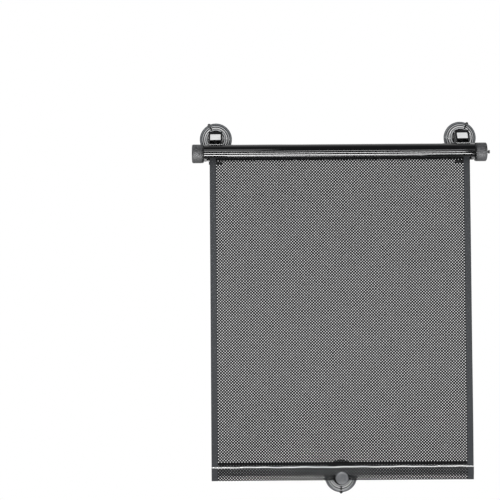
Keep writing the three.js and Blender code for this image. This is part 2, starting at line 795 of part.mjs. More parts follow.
for (const [side, name] of [
  [-1, "left_bracket"],
  [1, "right_bracket"],
])
  add(axis, name, bracket(), black).position.x = side * bracketX;

const sheet = new THREE.Group();
sheet.position.x = SHEET_SHIFT;
axis.add(sheet);
add(sheet, "mesh_sheet", meshSheet(), sheetVinyl);
add(sheet, "hem_sleeve", hemSleeve(), sheetVinyl);
add(sheet, "hem_bar", hemBar(), barGrey);

const clip = new THREE.Group();
clip.position.z = clipMiddle;
axis.add(clip);
add(clip, "hem_button", hemButton(), greyNylon);
add(clip, "hem_socket", hemSocket(), black);

for (const [name, x, z, turn] of [
  ["left_cup", -bracketX, 0, LEFT_CUP_TURN],
  ["right_cup", bracketX, 0, RIGHT_CUP_TURN],
  ["bottom_cup", 0, clipMiddle - CUP_RISE, BOTTOM_CUP_TURN],
]) {
  const cup = add(shade, name, suctionCup(), softVinyl);
  cup.position.set(x, 0, z);
  cup.rotation.y = degrees(turn);
}

export default shade;
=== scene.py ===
from math import cos, pi, radians, sin

import bmesh
import bpy
import numpy as np
from mathutils import Matrix, Vector


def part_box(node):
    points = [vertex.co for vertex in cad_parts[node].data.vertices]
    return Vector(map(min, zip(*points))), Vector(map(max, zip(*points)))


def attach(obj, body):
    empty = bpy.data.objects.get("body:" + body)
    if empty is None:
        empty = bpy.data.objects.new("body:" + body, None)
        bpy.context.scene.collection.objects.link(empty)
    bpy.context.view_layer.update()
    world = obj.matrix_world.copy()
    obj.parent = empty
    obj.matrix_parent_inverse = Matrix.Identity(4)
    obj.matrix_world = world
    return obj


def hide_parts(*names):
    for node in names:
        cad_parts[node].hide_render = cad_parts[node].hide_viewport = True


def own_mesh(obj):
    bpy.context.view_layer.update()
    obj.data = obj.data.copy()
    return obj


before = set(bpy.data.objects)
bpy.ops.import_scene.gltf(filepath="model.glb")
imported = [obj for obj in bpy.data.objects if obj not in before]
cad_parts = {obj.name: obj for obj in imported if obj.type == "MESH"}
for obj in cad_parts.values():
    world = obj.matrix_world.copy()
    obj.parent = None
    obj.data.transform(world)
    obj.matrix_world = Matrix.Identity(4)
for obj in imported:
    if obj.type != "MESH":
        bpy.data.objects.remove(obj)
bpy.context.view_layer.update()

# A roller sunshade for a car's side window. Lengths are in metres.
# u is towards the glass and v is up, both from the roller's axis.


def centre(node):
    low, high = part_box(node)
    return (Vector(low) + Vector(high)) / 2


ROLLER = centre("roller_core")
CLIP = centre("hem_button")
SHEET_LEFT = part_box("hem_sleeve")[0][0]
SHEET_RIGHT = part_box("hem_sleeve")[1][0]
SHEET_Y = centre("hem_sleeve").y
HEM_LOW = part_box("hem_sleeve")[0][2]
HEM_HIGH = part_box("hem_sleeve")[1][2]
SHEET_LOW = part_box("mesh_sheet")[0][2]
SHEET_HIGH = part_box("mesh_sheet")[1][2]

# Perforated film
HOLE_STEP = 0.002225  # from one column or row of holes to the next, which is half a step aside
HOLE_RADIUS = 0.00078
HOLE_SIDES = 8
FILM_BORDER = 0.0095
RIPPLE = 0.0009  # the film's slow waves come forward by up to 1.6 times this

# Hem
HEM_WELD = 0.0003  # between the sheet and each layer of the hem where they are welded
HEM_SWELL = 0.00155  # from the middle of the hem to each layer in front of and behind the bar
POCKET_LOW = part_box("hem_bar")[0][2] - 0.0004
POCKET_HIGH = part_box("hem_bar")[1][2] + 0.0002
POCKET_SLOPE = 0.0019
WELD_RADIUS = 0.00085
WELD_WAVE = 0.00036
HEM_FLAP = 0.0047  # of the rear layer, loose above the weld

# Case
CASE_RADIUS = 0.0122
CASE_WALL = 0.0012
CASE_RISE = 0.0015  # of the tube's middle above the roller's axis
CASE_LIP_ANGLE = 228  # degrees, from the rear over the top to the tip of the front wall
CASE_SKIRT = 0.0086  # outer face of the straight rear wall
CASE_HALF = (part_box("case_tube")[1][0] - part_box("case_tube")[0][0]) / 2

# End caps
CAP_RADIUS = 0.0143
CAP_WALL = 0.0015
CAP_FLOOR = 0.002
CAP_ROUNDING = 0.0021
STEM_HOLE = 0.00185

# Suction cups
CUP_RADIUS = 0.025
CUP_RIBS = 90
CUP_RIB_HEIGHT = 0.00013
CUP_RIBS_FROM = 0.0148  # from the cup's middle
CUP_RIBS_TO = 0.0175
TAB_RADIUS = 0.0024
TAB_THICKNESS = 0.0014
SLIT_SIZE = (0.0024, 0.0026, 0.0078)  # width, depth and length
SLIT_LEAN = 26  # degrees, with the slope of the dish
SLIT_SPOT = (0, -0.0046, 0.0181)  # of its middle, from the cup's middle
# Colour rings of the cups: the near-white bands are painted highlights on the ridges, and the near-black
# bands are painted shade in the grooves and round the neck
CUP_PAINTED_RINGS = [  # [share of the radius, colour] from the thick boss to the thin edge
    (0.28, "#1c1e20"),
    (0.53, "#0e0f10"),
    (0.555, "#c9cbcd"),
    (0.60, "#b9bbbd"),
    (0.615, "#202224"),
    (0.645, "#202224"),
    (0.66, "#f0f0f0"),
    (0.71, "#e6e7e8"),
    (0.725, "#0b0c0d"),
    (0.775, "#0e0f10"),
    (0.79, "#c9cbcd"),
    (0.83, "#b9bbbd"),
    (0.85, "#0e0f10"),
    (0.885, "#141517"),
    (0.90, "#85888c"),
    (0.95, "#6c6f72"),
    (0.98, "#55585b"),
]
CUP_TURNS = {"left_cup": -25, "right_cup": 27, "bottom_cup": 180}  # degrees, of the tab

# Brackets
# A thin pale plate on each bracket's slanted face; its near-white colour is a painted reflection
REFLECTION_PLATE_WIDTH = 0.0162
REFLECTION_PLATE_HEIGHT = 0.0118
REFLECTION_PLATE_THICKNESS = 0.0004
REFLECTION_PLATE_LEAN = 38  # degrees from upright
REFLECTION_PLATE_MIDDLE = (0.0033, 0.0259)  # (u, v) of the slanted face

# Hem button
BUTTON_RADIUS = 0.0097


# Shared tools


def linear(code):
    """A colour written as sRGB hex, in the linear values that a shader takes."""
    parts = [int(code[i : i + 2], 16) / 255 for i in (1, 3, 5)]
    return [p / 12.92 if p <= 0.04045 else ((p + 0.055) / 1.055) ** 2.4 for p in parts] + [1]


def every(size_mm):
    """The texture scale that repeats a pattern about once in that many millimetres."""
    return 1000 / size_mm


def node(tree, kind, inputs=None, **settings):
    """A node with its settings, whose inputs take plain values or other nodes' outputs."""
    new = tree.nodes.new(kind)
    for name, value in settings.items():
        setattr(new, name, value)
    for name, value in (inputs or {}).items():
        if isinstance(value, bpy.types.NodeSocket):
            tree.links.new(value, new.inputs[name])
        else:
            new.inputs[name].default_value = value
    return new


def piece(name, bm, body, material, replaces=(), sharp=32, closed=True):
    """A finished piece from its bmesh: it rides on a body and stands for the named nodes."""
    if closed:
        bmesh.ops.recalc_face_normals(bm, faces=bm.faces)
    mesh = bpy.data.meshes.new(name)
    bm.to_mesh(mesh)
    bm.free()
    mesh.polygons.foreach_set("use_smooth", [True] * len(mesh.polygons))
    mesh.set_sharp_from_angle(angle=radians(sharp))
    mesh.materials.append(material)
    made = bpy.data.objects.new(name, mesh)
    bpy.context.collection.objects.link(made)
    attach(made, body)
    if replaces:
        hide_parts(*replaces)
    return made


def turned(profile, axis, steps=96):
    """A [radius, place] profile turned round the X or Y axis through the origin."""
    bm = bmesh.new()
    along = Vector((1, 0, 0)) if axis == "X" else Vector((0, 1, 0))
    corners = [bm.verts.new(along * place + Vector((0, 0, radius))) for radius, place in profile]
    pairs = list(zip(corners, corners[1:]))
    if profile[0][0] > 0:
        pairs.append((corners[-1], corners[0]))
    rim = [bm.edges.new(pair) for pair in pairs]
    bmesh.ops.spin(
        bm, geom=corners + rim, cent=(0, 0, 0), axis=along, angle=2 * pi, steps=steps, use_merge=True
    )
    bmesh.ops.remove_doubles(bm, verts=bm.verts, dist=1e-6)
    bmesh.ops.recalc_face_normals(bm, faces=bm.faces)
    return bm


def place(bm, spot, turn=0):
    """Turns a shape round Y, tab over to the right, and moves it to its spot."""
    bmesh.ops.rotate(bm, verts=bm.verts, cent=(0, 0, 0), matrix=Matrix.Rotation(radians(turn), 3, "Y"))
    bmesh.ops.translate(bm, verts=bm.verts, vec=spot)
    return bm


def ease(bm, radius, segments=2, over=28):
    """Rounds each edge that is sharper than so many degrees, as a mould does."""
    edges = [e for e in bm.edges if e.is_manifold and e.calc_face_angle() > radians(over)]
    bmesh.ops.bevel(
        bm,
        geom=edges,
        offset=radius,
        segments=segments,
        profile=0.5,
        affect="EDGES",
        material=-1,
        clamp_overlap=True,
    )
    return bm


def cast(name):
    """A copy of a node's solid, merged, with its flat faces made whole."""
    bm = bmesh.new()
    bm.from_mesh(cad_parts[name].data)
    bmesh.ops.remove_doubles(bm, verts=bm.verts, dist=1e-5)
    bmesh.ops.dissolve_limit(bm, angle_limit=radians(1), verts=bm.verts, edges=bm.edges)
    return bm


def settled(obj):
    """The mesh of a helper object with its modifiers applied; the helper goes."""
    mesh = bpy.data.meshes.new_from_object(obj.evaluated_get(bpy.context.evaluated_depsgraph_get()))
    bpy.data.objects.remove(obj)
    return mesh


def helper(bm):
    """A bmesh as an object for modifiers to work on."""
    mesh = bpy.data.meshes.new("helper")
    bm.to_mesh(mesh)
    bm.free()
    made = bpy.data.objects.new("helper", mesh)
    bpy.context.collection.objects.link(made)
    return made


# Materials


def blank(name):
    """A new material's tree, its shader and its Object coordinates."""
    made = bpy.data.materials.new(name)
    made.use_nodes = True
    tree = made.node_tree
    shader = tree.nodes["Principled BSDF"]
    places = tree.nodes.new("ShaderNodeTexCoord").outputs["Object"]
    return made, tree, shader, places


def tones(tree, share, stops):
    """A colour that runs through [share, hex colour] stops."""
    ramp = node(tree, "ShaderNodeValToRGB", {"Fac": share})
    for index, (position, code) in enumerate(stops):
        if index > 1:
            ramp.color_ramp.elements.new(position)
        ramp.color_ramp.elements[index].position = position
        ramp.color_ramp.elements[index].color = linear(code)
    return ramp.outputs["Color"]


def two_tone(tree, share, first, second, spread=0.2):
    """A colour between two, by the share from a texture that keeps near a half."""
    return tones(tree, share, [(0.5 - spread, first), (0.5 + spread, second)])


def gloss_black_styrene():
    """Extruded high-impact polystyrene: near black and glossy, with faint die lines along its length."""
    made, tree, shader, places = blank("gloss_black_styrene")
    stretch = node(
        tree, "ShaderNodeMapping", {"Vector": places, "Scale": (every(210), every(1.5), every(1.5))}
    )
    lines = node(
        tree, "ShaderNodeTexNoise", {"Vector": stretch.outputs["Vector"], "Scale": 1.0, "Detail": 2.0}
    )
    dust = node(tree, "ShaderNodeTexNoise", {"Vector": places, "Scale": every(9), "Detail": 3.0})
    dull = node(tree, "ShaderNodeMapRange", {"Value": dust.outputs["Fac"], "To Min": 0.05, "To Max": 0.1})
    bump = node(
        tree, "ShaderNodeBump", {"Height": lines.outputs["Fac"], "Strength": 0.14, "Distance": 0.0001}
    )
    shader.inputs["IOR"].default_value = 1.52
    tree.links.new(two_tone(tree, dust.outputs["Fac"], "#08090b", "#0d0e10"), shader.inputs["Base Color"])
    tree.links.new(dull.outputs["Result"], shader.inputs["Roughness"])
    tree.links.new(bump.outputs["Normal"], shader.inputs["Normal"])
    return made


def grained(name, dark, light, grain_mm, low, high, relief):
    """A moulded plastic with a spark-eroded grain: mottled light and dark, and no clear reflection."""
    made, tree, shader, places = blank(name)
    grain = node(tree, "ShaderNodeTexNoise", {"Vector": places, "Scale": every(grain_mm), "Detail": 4.0})
    cloud = node(tree, "ShaderNodeTexNoise", {"Vector": places, "Scale": every(grain_mm * 7), "Detail": 2.0})
    share = node(tree, "ShaderNodeMath", {0: grain.outputs["Fac"], 1: cloud.outputs["Fac"]}, operation="ADD")
    half = node(tree, "ShaderNodeMath", {0: share.outputs["Value"], 1: 0.5}, operation="MULTIPLY")
    dull = node(tree, "ShaderNodeMapRange", {"Value": grain.outputs["Fac"], "To Min": low, "To Max": high})
    bump = node(
        tree, "ShaderNodeBump", {"Height": grain.outputs["Fac"], "Strength": relief, "Distance": 0.0003}
    )
    shader.inputs["IOR"].default_value = 1.5
    colour = two_tone(tree, half.outputs["Value"], dark, light, spread=0.1)
    tree.links.new(colour, shader.inputs["Base Color"])
    tree.links.new(dull.outputs["Result"], shader.inputs["Roughness"])
    tree.links.new(bump.outputs["Normal"], shader.inputs["Normal"])
    return made


def painted_face_reflection():
    """A near-white satin plate with faint lines across, whose colour is a painted reflection of the bracket's
    glossy slanted face.
    """
    made, tree, shader, places = blank("painted_face_reflection")
    stretch = node(
        tree, "ShaderNodeMapping", {"Vector": places, "Scale": (every(14), every(0.9), every(0.9))}
    )
    lines = node(
        tree, "ShaderNodeTexNoise", {"Vector": stretch.outputs["Vector"], "Scale": 1.0, "Detail": 3.0}
    )
    bump = node(
        tree, "ShaderNodeBump", {"Height": lines.outputs["Fac"], "Strength": 0.2, "Distance": 0.0002}
    )
    shader.inputs["Roughness"].default_value = 0.24
    tree.links.new(two_tone(tree, lines.outputs["Fac"], "#cfd1d2", "#f7f7f7"), shader.inputs["Base Color"])
    tree.links.new(bump.outputs["Normal"], shader.inputs["Normal"])
    return made


def smoked_vinyl_painted_rings(name, x, z):
    """Moulded plasticised vinyl, smoke grey and glossy; its colour rings round the middle are painted
    highlights and painted shade.
    """
    made, tree, shader, places = blank(name)
    size = 1 / CUP_RADIUS
    middle = (-x * size, 0, -z * size)
    flat = node(
        tree, "ShaderNodeMapping", {"Vector": places, "Location": middle, "Scale": (size, 0, size)}
    )
    out = node(tree, "ShaderNodeVectorMath", {0: flat.outputs["Vector"]}, operation="LENGTH")
    cloud = node(tree, "ShaderNodeTexNoise", {"Vector": places, "Scale": every(6), "Detail": 3.0})
    dull = node(tree, "ShaderNodeMapRange", {"Value": cloud.outputs["Fac"], "To Min": 0.08, "To Max": 0.2})
    bump = node(
        tree, "ShaderNodeBump", {"Height": cloud.outputs["Fac"], "Strength": 0.15, "Distance": 0.0003}
    )
    shader.inputs["IOR"].default_value = 1.52
    shader.inputs["Transmission Weight"].default_value = 0.06
    # Colour by radius: rings of painted highlight and painted shade
    colour = tones(tree, out.outputs["Value"], CUP_PAINTED_RINGS)
    tree.links.new(colour, shader.inputs["Base Color"])
    tree.links.new(dull.outputs["Result"], shader.inputs["Roughness"])
    tree.links.new(bump.outputs["Normal"], shader.inputs["Normal"])
    return made


def film_vinyl(name, dark, light, border, low, high, relief, sheen):
    """Calendered vinyl film: satin dark grey, with a fine pressed grain and a paler border whose colour is a
    painted sheen.
    """
    made, tree, shader, _ = blank(name)
    spots = node(tree, "ShaderNodeUVMap", uv_map="film").outputs["UV"]
    across = node(tree, "ShaderNodeSeparateXYZ", {0: spots}).outputs["X"]
    middle = (SHEET_LEFT + SHEET_RIGHT) / 2
    aside = node(tree, "ShaderNodeMath", {0: across, 1: middle}, operation="SUBTRACT")
    away = node(tree, "ShaderNodeMath", {0: aside.outputs["Value"]}, operation="ABSOLUTE")
    edge = (SHEET_RIGHT - SHEET_LEFT) / 2 - FILM_BORDER
    # Past the side borders' inner edge the colour turns paler: painted sheen
    painted_sheen_border = node(
        tree, "ShaderNodeMath", {0: away.outputs["Value"], 1: edge}, operation="GREATER_THAN"
    )
    grain = node(tree, "ShaderNodeTexNoise", {"Vector": spots, "Scale": every(1.1), "Detail": 3.0})
    cloud = node(tree, "ShaderNodeTexNoise", {"Vector": spots, "Scale": every(55), "Detail": 2.0})
    dull = node(tree, "ShaderNodeMapRange", {"Value": cloud.outputs["Fac"], "To Min": low, "To Max": high})
    bump = node(
        tree, "ShaderNodeBump", {"Height": grain.outputs["Fac"], "Strength": relief, "Distance": 0.0002}
    )
    shader.inputs["IOR"].default_value = 1.53
    shader.inputs["Specular IOR Level"].default_value = sheen
    ground = two_tone(tree, cloud.outputs["Fac"], dark, light)
    colour = node(
        tree,
        "ShaderNodeMix",
        {0: painted_sheen_border.outputs["Value"], 6: ground, 7: linear(border)},
        data_type="RGBA",
    )
    tree.links.new(colour.outputs[2], shader.inputs["Base Color"])
    tree.links.new(dull.outputs["Result"], shader.inputs["Roughness"])
    tree.links.new(bump.outputs["Normal"], shader.inputs["Normal"])
    return made


def drawn_metal(name, dark, light, low, high, line_mm):
    """A drawn or rolled metal: bright, with fine lines along X."""
    made, tree, shader, places = blank(name)
    stretch = node(
        tree, "ShaderNodeMapping", {"Vector": places, "Scale": (every(30), every(line_mm), every(line_mm))}
    )
    lines = node(
        tree, "ShaderNodeTexNoise", {"Vector": stretch.outputs["Vector"], "Scale": 1.0, "Detail": 3.0}
    )
    dull = node(tree, "ShaderNodeMapRange", {"Value": lines.outputs["Fac"], "To Min": low, "To Max": high})
    shader.inputs["Metallic"].default_value = 1.0
    tree.links.new(two_tone(tree, lines.outputs["Fac"], dark, light), shader.inputs["Base Color"])
    tree.links.new(dull.outputs["Result"], shader.inputs["Roughness"])
    return made


case_gloss = gloss_black_styrene()
cap_plastic = grained("textured_polypropylene", "#2a2b2d", "#56575a", 2.2, 0.5, 0.66, 0.6)
plug_plastic = grained("black_acetal_copolymer", "#101113", "#1c1d1f", 0.8, 0.24, 0.36, 0.12)
bracket_plastic = grained("satin_black_abs", "#141517", "#202123", 1.2, 0.16, 0.28, 0.1)
reflection_paint = painted_face_reflection()
# Black vinyl for the cups' pull tabs; on the walls of each cup's slit the same black is painted shade in the
# recess
tab_vinyl_and_slit_shade = grained("black_tab_vinyl_and_painted_slit_shade", "#0c0d0e", "#141517", 1.5, 0.2, 0.34, 0.1)
# The sheet's border colour is a painted sheen on its unperforated sides
sheet_film = film_vinyl("perforated_vinyl_film", "#0e0f10", "#141517", "#46484b", 0.5, 0.6, 0.15, 0.04)
# Near-white film on the weld bead: a painted highlight
weld_painted_highlight = film_vinyl("weld_vinyl_painted_highlight", "#d9dbdc", "#f4f4f4", "#e6e7e8", 0.16, 0.26, 0.3, 0.5)
bar_plastic = grained("extruded_grey_pvc", "#a2a4a6", "#b8babc", 2.4, 0.4, 0.5, 0.1)
button_nylon = grained("moulded_grey_nylon", "#56585b", "#6c6e71", 0.9, 0.3, 0.42, 0.2)
pale_acetal = grained("white_acetal", "#cfcfca", "#dededa", 1.5, 0.3, 0.42, 0.08)
roller_tube = drawn_metal("drawn_aluminium", "#a9abad", "#c4c6c8", 0.28, 0.42, 0.35)
spring_steel = drawn_metal("bright_spring_steel", "#8f9092", "#b9babc", 0.2, 0.34, 0.2)

for nodes, material in [
    (["roller_core"], roller_tube),
    (["left_roller_plug", "right_roller_plug", "spring_anchor", "brake_cone"], pale_acetal),
    (["spring_arbor", "return_spring"], spring_steel),
    (["hem_bar"], bar_plastic),
]:
    for name in nodes:
        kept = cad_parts[name].data
        kept.materials.clear()
        kept.materials.append(material)


# Case: a gloss tube open along its lower front, with a straight rear wall behind the sheet


def case_shell():
    bm = bmesh.new()
    middle = Vector((-CASE_HALF, ROLLER.y, ROLLER.z + CASE_RISE))

    def rear(radius, u):
        return middle + Vector((0, u, -((radius**2 - u**2) ** 0.5)))

    outer = bm.verts.new(rear(CASE_RADIUS, CASE_SKIRT))
    inner = bm.verts.new(rear(CASE_RADIUS - CASE_WALL, CASE_SKIRT - CASE_WALL))
    start = bm.edges.new((inner, outer))
    arc = radians(CASE_LIP_ANGLE + 45)
    bmesh.ops.spin(bm, geom=[inner, outer, start], cent=middle, axis=(1, 0, 0), angle=arc, steps=72)
    skirt = bmesh.ops.extrude_edge_only(bm, edges=[start])["geom"]
    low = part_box("case_tube")[0][2]
    for corner in skirt:
        if isinstance(corner, bmesh.types.BMVert):
            corner.co.z = low
    section = list(bm.faces)
    drawn = bmesh.ops.extrude_face_region(bm, geom=section, use_keep_orig=True)["geom"]
    far = [v for v in drawn if isinstance(v, bmesh.types.BMVert)]
    bmesh.ops.translate(bm, verts=far, vec=(2 * CASE_HALF, 0, 0))
    bmesh.ops.recalc_face_normals(bm, faces=bm.faces)
    ease(bm, 0.0003, over=50)
    piece("case_shell", bm, "case", case_gloss, ["case_tube"], sharp=40)


case_shell()


# End caps and end plugs


def end_cap(name, side, hole, stands_for):
    """A cap's outer edge is rounded, and a fine groove runs round it beside the collar."""
    low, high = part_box(stands_for)
    face, end = (low[0], high[0]) if side > 0 else (high[0], low[0])
    arc = [step * pi / 16 for step in range(9)]
    rounding = [
        (
            CAP_RADIUS - CAP_ROUNDING * (1 - cos(angle)),
            end - side * CAP_ROUNDING * (1 - sin(angle)),
        )
        for angle in arc
    ]
    groove = [
        (CAP_RADIUS - 0.0004, face),
        (CAP_RADIUS, face + side * 0.0004),
        (CAP_RADIUS, face + side * 0.0011),
        (CAP_RADIUS - 0.0003, face + side * 0.0013),
        (CAP_RADIUS - 0.0003, face + side * 0.0017),
        (CAP_RADIUS, face + side * 0.0019),
    ]
    inside = [(hole, end - side * CAP_FLOOR), (CAP_RADIUS - CAP_WALL, end - side * CAP_FLOOR)]
    mouth = [(CAP_RADIUS - CAP_WALL, face)]
    bm = turned(inside + mouth + groove + rounding + [(hole, end)], "X")
    place(bm, (0, ROLLER.y, ROLLER.z))
    piece(name, bm, "case", cap_plastic, [stands_for])


end_cap("left_cap", -1, 0, "left_end_cap")
end_cap("right_cap", 1, STEM_HOLE, "right_end_cap")

for stands_for in ("left_end_plug", "right_end_plug"):
    bm = ease(cast(stands_for), 0.00025, segments=2, over=30)
    piece(stands_for + "_eased", bm, "case", plug_plastic, [stands_for])

bm = ease(cast("release_button"), 0.0002, over=40)
piece("release_pin", bm, "release", plug_plastic, ["release_button"])


# Brackets: the moulding, and a pale plate on its slanted face whose colour is a painted reflection of that
# glossy face


def bracket_reflection_plate(name, x):
    bm = bmesh.new()
    bmesh.ops.create_cube(bm, size=1)
    bmesh.ops.scale(bm, verts=bm.verts, vec=(REFLECTION_PLATE_WIDTH, REFLECTION_PLATE_THICKNESS, REFLECTION_PLATE_HEIGHT))
    upright = [e for e in bm.edges if abs(e.verts[0].co.y - e.verts[1].co.y) > REFLECTION_PLATE_THICKNESS / 2]
    bmesh.ops.bevel(
        bm, geom=upright, offset=0.0009, segments=4, profile=0.5, affect="EDGES", material=-1
    )
    ease(bm, 0.0001, over=60)
    bmesh.ops.rotate(
        bm, verts=bm.verts, cent=(0, 0, 0), matrix=Matrix.Rotation(-radians(REFLECTION_PLATE_LEAN), 3, "X")
    )
    u, v = REFLECTION_PLATE_MIDDLE
    bmesh.ops.translate(bm, verts=bm.verts, vec=(x, ROLLER.y + u, ROLLER.z + v))
    piece(name, bm, "case", reflection_paint)


for stands_for in ("left_bracket", "right_bracket"):
    bm = ease(cast(stands_for), 0.0004, segments=3, over=30)
    piece(stands_for + "_moulding", bm, "case", bracket_plastic, [stands_for])
    bracket_reflection_plate(stands_for + "_label", centre(stands_for).x)


# Suction cups: head, neck and boss, then a dish with rings, fine ribs, a slit and a pull tab


def cup_profile():
    head_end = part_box("left_cup")[0][1]
    head_back = head_end + 0.0025
    shoulder = head_back + 0.0036
    return [
        (0, head_end),
        (0.0050, head_end),
        (0.0060, head_end + 0.001),
        (0.0060, head_back),
        (0.0040, head_back),
        (0.0040, shoulder),
        (0.0070, shoulder),
        (0.0074, -0.0074),
        (0.0080, -0.0066),
        (0.0122, -0.0064),
        (0.0126, -0.0077),
        (0.0132, -0.0079),
        (0.0138, -0.0076),
        (0.0143, -0.0060),
        (0.0150, -0.0053),
        (0.0160, -0.0049),
        (0.0172, -0.0044),
        (0.0184, -0.0039),
        (0.0189, -0.0031),
        (0.0196, -0.0036),
        (0.0202, -0.0034),
        (0.0209, -0.0025),
        (0.0215, -0.0020),
        (0.0221, -0.0021),
        (0.0227, -0.0017),
        (0.0232, -0.0011),
        (0.0245, -0.0010),
        (CUP_RADIUS, -0.0005),
        (CUP_RADIUS, 0),
        (0.0205, 0),
        (0.0190, -0.0009),
        (0.0140, -0.0028),
        (0.0080, -0.0043),
        (0, -0.0050),
    ]


def suction_cup(name, x, z):
    bm = turned(cup_profile(), "Y", steps=CUP_RIBS * 4)
    for corner in bm.verts:
        radius = (corner.co.x**2 + corner.co.z**2) ** 0.5
        if CUP_RIBS_FROM < radius < CUP_RIBS_TO and corner.co.y < -0.004:
            angle = np.arctan2(corner.co.x, corner.co.z)
            corner.co.y -= CUP_RIB_HEIGHT * cos(CUP_RIBS * angle)
    tab = bmesh.new()
    bmesh.ops.create_cone(
        tab, cap_ends=True, segments=40, radius1=TAB_RADIUS, radius2=TAB_RADIUS, depth=TAB_THICKNESS
    )
    bmesh.ops.rotate(tab, verts=tab.verts, cent=(0, 0, 0), matrix=Matrix.Rotation(pi / 2, 3, "X"))
    bmesh.ops.translate(tab, verts=tab.verts, vec=(0, -0.0009, CUP_RADIUS - 0.0004))
    ease(tab, 0.0004, segments=3)
    tab_mesh = bpy.data.meshes.new("tab")
    tab.to_mesh(tab_mesh)
    tab.free()
    cutter = bmesh.new()
    bmesh.ops.create_cube(cutter, size=1)
    bmesh.ops.scale(cutter, verts=cutter.verts, vec=SLIT_SIZE)
    lean = Matrix.Rotation(-radians(SLIT_LEAN), 3, "X")
    bmesh.ops.rotate(cutter, verts=cutter.verts, cent=(0, 0, 0), matrix=lean)
    bmesh.ops.translate(cutter, verts=cutter.verts, vec=SLIT_SPOT)
    dish = helper(bm)
    dish.data.materials.append(smoked_vinyl_painted_rings(name + "_smoked_vinyl_painted_rings", x, z))
    slit = helper(cutter)
    slit.data.materials.append(tab_vinyl_and_slit_shade)
    cutting = dish.modifiers.new("slit", "BOOLEAN")
    cutting.operation = "DIFFERENCE"
    cutting.object = slit
    cutting.solver = "EXACT"
    # The slit's walls take the cutter's black: painted shade in the recess
    cutting.material_mode = "TRANSFER"
    bpy.context.view_layer.update()
    mesh = settled(dish)
    bpy.data.objects.remove(slit)
    bm = bmesh.new()
    bm.from_mesh(mesh)
    dish_faces = len(bm.faces)
    bm.from_mesh(tab_mesh)
    bm.faces.ensure_lookup_table()
    for face in bm.faces[dish_faces:]:
        face.material_index = 1
    place(bm, (x, 0, z), CUP_TURNS[name])
    made = piece(name + "_vinyl", bm, name, mesh.materials[0], [name], sharp=50)
    made.data.materials.append(tab_vinyl_and_slit_shade)


suction_cup("left_cup", centre("left_bracket").x, 0)
suction_cup("right_cup", centre("right_bracket").x, 0)
suction_cup("bottom_cup", CLIP.x, CLIP.z)


# Perforated film: the sheet, and the two layers of its hem


def hole_cell():
    """The film round two holes, a step up and aside from each other.

    Each hole has a bridge to both holes above it, and a patch between it and the next hole straight above.
    """
    bm = bmesh.new()
    step = HOLE_STEP
    for first in ((0, 0), (step, step)):
        ring = {}
        for side, (dx, dz) in {
            "own": (0, 0),
            "right": (step, step),
            "above": (0, 2 * step),
            "left": (-step, step),
        }.items():
            spot = Matrix.Translation((first[0] + dx, first[1] + dz, 0)) @ Matrix.Rotation(pi / 8, 4, "Z")
            made = bmesh.ops.create_circle(bm, segments=HOLE_SIDES, radius=HOLE_RADIUS, matrix=spot)
            mid = Vector((first[0] + dx, first[1] + dz, 0))
            made["verts"].sort(key=lambda v: np.arctan2((v.co - mid).y, (v.co - mid).x) % (2 * pi))
            ring[side] = made["verts"]
        own, right, above, left = ring["own"], ring["right"], ring["above"], ring["left"]
        bm.faces.new((own[0], right[5], right[4], own[1]))
        bm.faces.new((own[2], left[7], left[6], own[3]))
        bm.faces.new((own[2], own[1], right[4], right[3], above[6], above[5], left[0], left[7]))
    loose = [e for e in bm.edges if not e.link_faces]
    bmesh.ops.delete(bm, geom=loose, context="EDGES")
    bmesh.ops.delete(bm, geom=[v for v in bm.verts if not v.link_faces], context="VERTS")
    bmesh.ops.remove_doubles(bm, verts=bm.verts, dist=1e-5)
    return bm


def perforated(columns, rows, low, high, cut_low=0.5):
    """Film from low to high, with so many columns and rows of holes centred between its side borders.

    cut_low is where the lowest row is cut, in steps from its middle: 0.5 leaves it whole.
    """
    sheet = helper(hole_cell())
    for count, offset in ((columns // 2 + 2, (2 * HOLE_STEP, 0, 0)), (rows // 2 + 2, (0, 2 * HOLE_STEP, 0))):
        repeat = sheet.modifiers.new("repeat", "ARRAY")
        repeat.count = count
        repeat.use_relative_offset = False
        repeat.use_constant_offset = True
        repeat.constant_offset_displace = offset
        repeat.use_merge_vertices = True
        repeat.merge_threshold = HOLE_STEP / 50
    bm = bmesh.new()
    bm.from_mesh(settled(sheet))
    first = HOLE_STEP * 1.5
    last = first + columns * HOLE_STEP
    bottom = HOLE_STEP * (2 - cut_low)
    top = HOLE_STEP * (rows + 1.5)
    for spot, outward in (
        ((first, 0, 0), (-1, 0, 0)),
        ((last, 0, 0), (1, 0, 0)),
        ((0, bottom, 0), (0, -1, 0)),
        ((0, top, 0), (0, 1, 0)),
    ):
        everything = bm.verts[:] + bm.edges[:] + bm.faces[:]
        bmesh.ops.bisect_plane(
            bm, geom=everything, dist=1e-7, plane_co=spot, plane_no=outward, clear_outer=True
        )
    middle = (SHEET_LEFT + SHEET_RIGHT) / 2
    rise = low - bottom if cut_low < 0.5 else (low + high) / 2 - (bottom + top) / 2
    bmesh.ops.translate(bm, verts=bm.verts, vec=(middle - (first + last) / 2, rise, 0))
    sides = [(0, middle - (last - first) / 2, SHEET_LEFT), (0, middle + (last - first) / 2, SHEET_RIGHT)]
    ends = [(1, bottom + rise, low), (1, top + rise, high)]
    for axis, old, new in ends + sides:
        rim = [
            e for e in bm.edges if e.is_boundary and all(abs(v.co[axis] - old) < 1e-5 for v in e.verts)
        ]
        if abs(old - new) < 1e-6 or not rim:
            continue
        for corner in bmesh.ops.extrude_edge_only(bm, edges=rim)["geom"]:
            if isinstance(corner, bmesh.types.BMVert):
                corner.co[axis] = new
    bmesh.ops.rotate(bm, verts=bm.verts, cent=(0, 0, 0), matrix=Matrix.Rotation(pi / 2, 3, "X"))
    bmesh.ops.translate(bm, verts=bm.verts, vec=(0, SHEET_Y, 0))
    return bm


